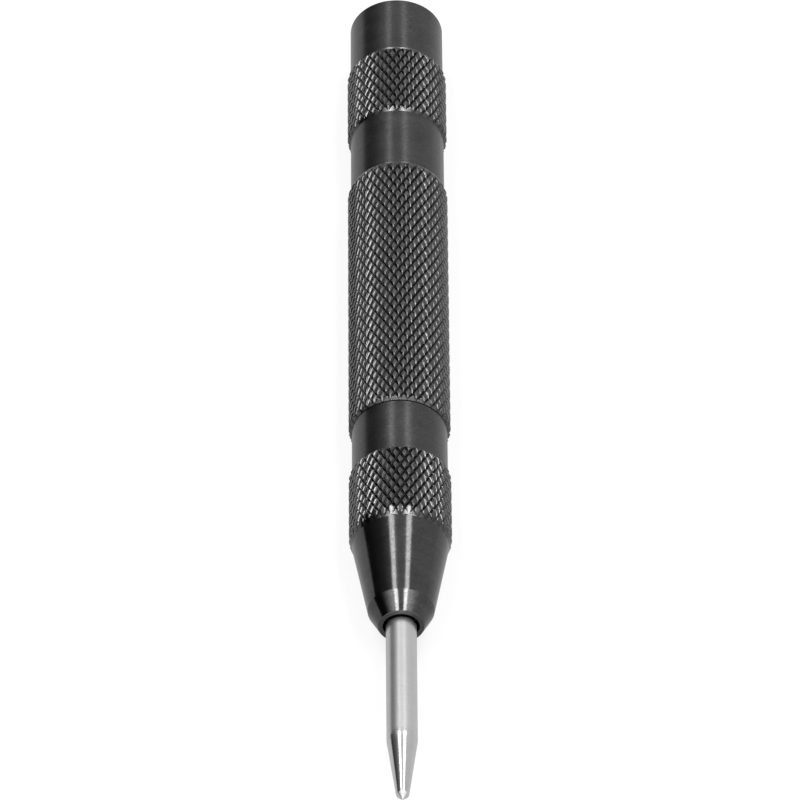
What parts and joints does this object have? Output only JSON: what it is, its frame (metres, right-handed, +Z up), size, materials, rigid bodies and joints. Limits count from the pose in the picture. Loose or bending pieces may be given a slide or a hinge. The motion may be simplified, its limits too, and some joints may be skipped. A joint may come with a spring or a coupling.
{
  "type": "automatic center punch",
  "caption": "Spring-loaded center punch with knurled barrel, screw cap that sets the blow, tapered nosepiece and a point that slides in to cock and release the hammer.",
  "frame": {"origin": "middle of the tool's length on the surface it lies on, straight below its axis", "axes": "+Y along the tool from the point to the cap, +Z up, the tool lying on its knurled bands"},
  "size_m": [0.0124, 0.13, 0.0124],
  "materials": {
    "blackened_steel": "satin",
    "ground_steel": "polished",
    "hardened_steel": "satin",
    "spring_steel": "satin"
  },
  "bodies": {
    "housing": {"barrel": "blackened_steel", "nosepiece": "blackened_steel", "release_bush": "hardened_steel", "return_spring": "spring_steel"},
    "point_carrier": {"punch_point": "ground_steel", "plunger": "hardened_steel", "drive_pin": "hardened_steel"},
    "hammer": {"hammer": "hardened_steel"},
    "seat": {"spring_seat": "hardened_steel", "main_spring": "spring_steel"},
    "cap": {"cap": "blackened_steel"}
  },
  "joints": [
    {"name": "point_press", "type": "slide", "parent": "housing", "child": "point_carrier", "axis": [0, 1, 0], "range_m": [0, 0.008], "stiffness_N_per_m": 1000, "deforming": ["return_spring"]},
    {"name": "hammer_lift", "type": "slide", "parent": "housing", "child": "hammer", "axis": [0, 1, 0], "range_m": [0, 0.008], "stiffness_N_per_m": 9800, "deforming": ["main_spring"]},
    {"name": "cap_rise", "type": "slide", "parent": "housing", "child": "seat", "axis": [0, 1, 0], "range_m": [0, 0.004]},
    {"name": "cap_turn", "type": "hinge", "parent": "seat", "child": "cap", "pos_m": [0, 0.05, 0.0062], "axis": [0, 1, 0], "range_deg": [0, 1440]}
  ],
  "couplings": [
    {"joint": "cap_turn", "follows": "cap_rise", "rad_per_m": 6283.2}
  ]
}
